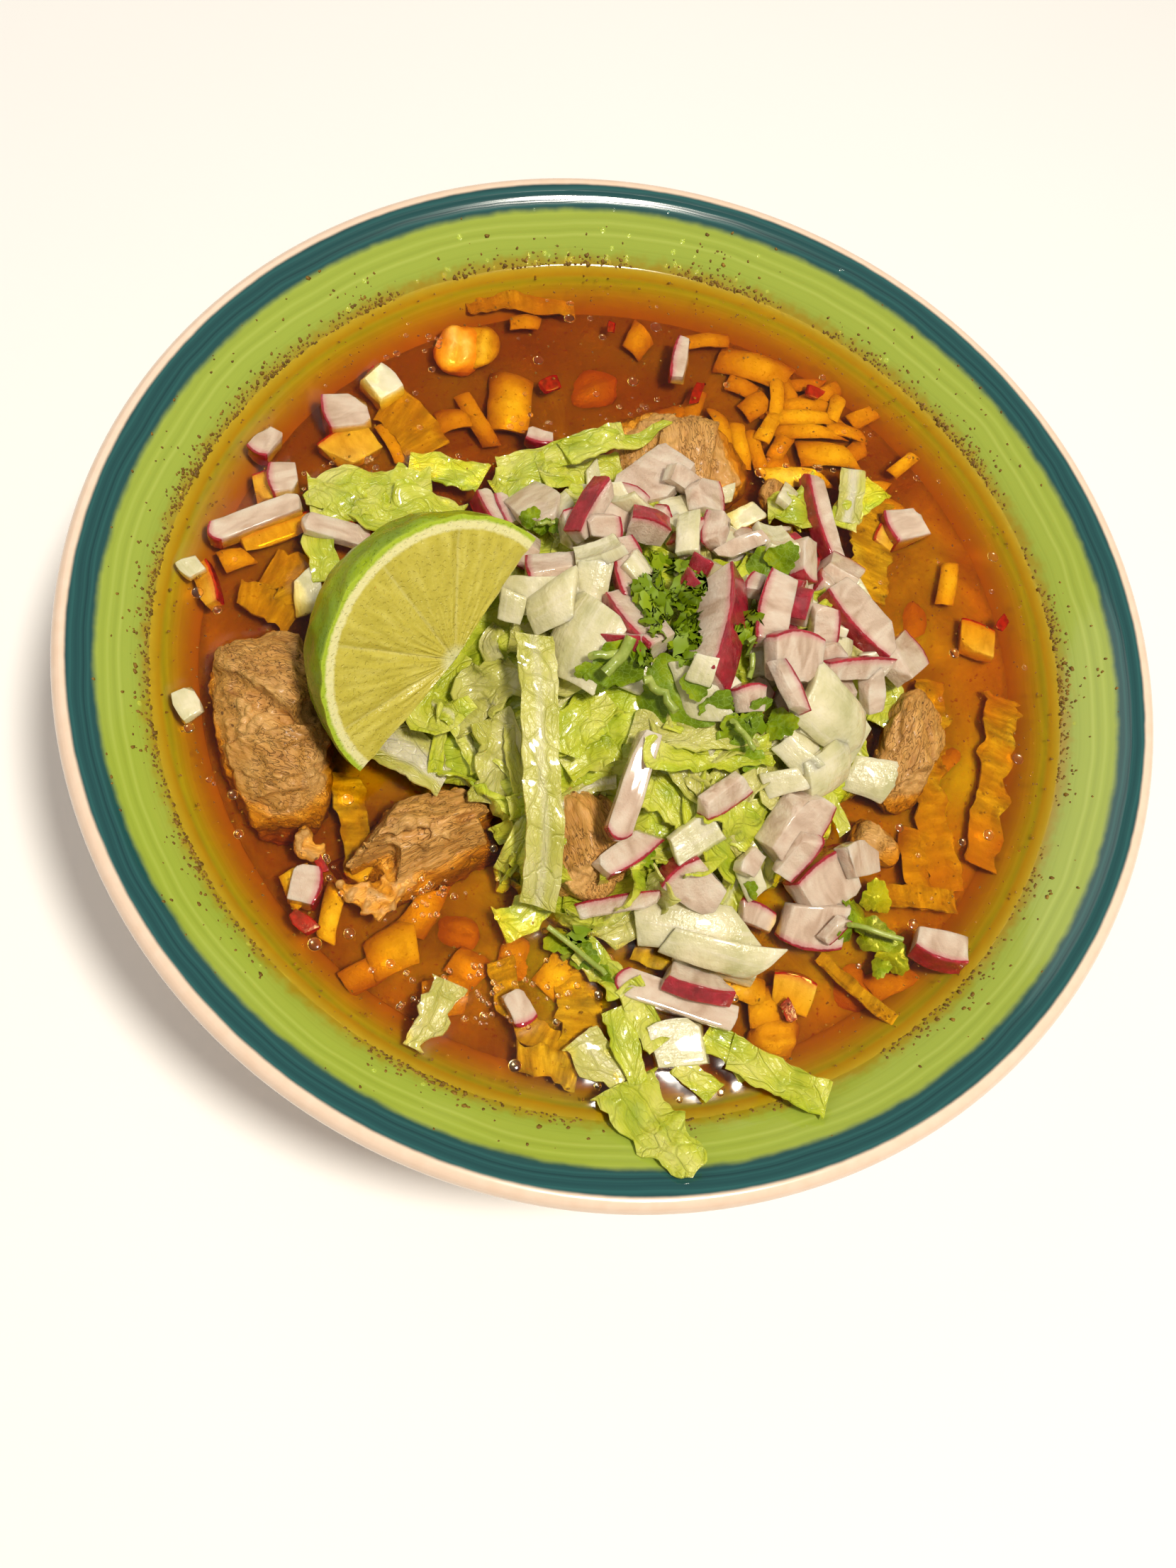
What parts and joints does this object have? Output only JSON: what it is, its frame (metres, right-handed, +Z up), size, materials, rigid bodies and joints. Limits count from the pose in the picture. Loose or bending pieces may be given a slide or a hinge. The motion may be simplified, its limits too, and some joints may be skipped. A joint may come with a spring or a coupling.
{
  "type": "bowl of red pozole",
  "caption": "Wide glazed soup bowl of clear red pozole broth with pork chunks, a heap of shredded lettuce, chopped radish and onion, and a lime wedge.",
  "frame": {"origin": "middle of the bowl's foot, on the table", "axes": "+Z up out of the bowl, +X to the eater's right, +Y away from the eater; the lime wedge lies at -X"},
  "size_m": [0.1996, 0.2, 0.0888],
  "materials": {
    "bowl_glaze": "glossy apple green inside with a dark teal band and a cream lip and outside",
    "broth": "clear red-brown broth with drops of oil",
    "lettuce": "wet pale green leaf with fine veins",
    "lime": "waxy green peel, white pith and pale juicy flesh",
    "pork": "boiled pork, fibrous and stained orange by the broth",
    "radish": "moist white flesh with crimson skin",
    "onion": "moist translucent white layers",
    "hominy": "soft swollen maize kernel stained orange",
    "cilantro": "thin dark green leaf"
  },
  "bodies": {
    "root": {"bowl": "bowl_glaze", "broth": "broth", "hominy_float_back_left": "hominy", "lettuce_back": "lettuce", "lettuce_back_left": "lettuce", "lettuce_curl": "lettuce", "lettuce_front_leaf": "lettuce", "lettuce_left_flap": "lettuce", "lettuce_long_strip": "lettuce", "lettuce_rim_leaf": "lettuce", "lime_wedge": "lime", "onion_die_front": "onion", "onion_float_back_left": "onion", "onion_float_left_high": "onion", "onion_float_left_low": "onion", "onion_plate_front": "onion", "onion_plate_left": "onion", "onion_plate_right": "onion", "pork_back": "pork", "pork_back_bit": "pork", "pork_front": "pork", "pork_left": "pork", "pork_middle": "pork", "pork_right": "pork", "pork_right_low": "pork", "radish_arc_back": "radish", "radish_block_front": "radish", "radish_die_back": "radish", "radish_die_front": "radish", "radish_die_left": "radish", "radish_edge_right": "radish", "radish_float_back": "radish", "radish_float_back_left": "radish", "radish_float_front_right": "radish", "radish_float_left": "radish", "radish_float_left_tip": "radish", "radish_float_low_left": "radish", "radish_float_right": "radish", "radish_slab_front": "radish", "radish_sliver_front": "radish", "radish_stick_back": "radish", "radish_stick_front": "radish", "radish_stick_left": "radish", "radish_stick_middle": "radish", "radish_wedge_left": "radish", "radish_wedge_middle": "radish", "salad_heap": "lettuce"}
  },
  "joints": []
}
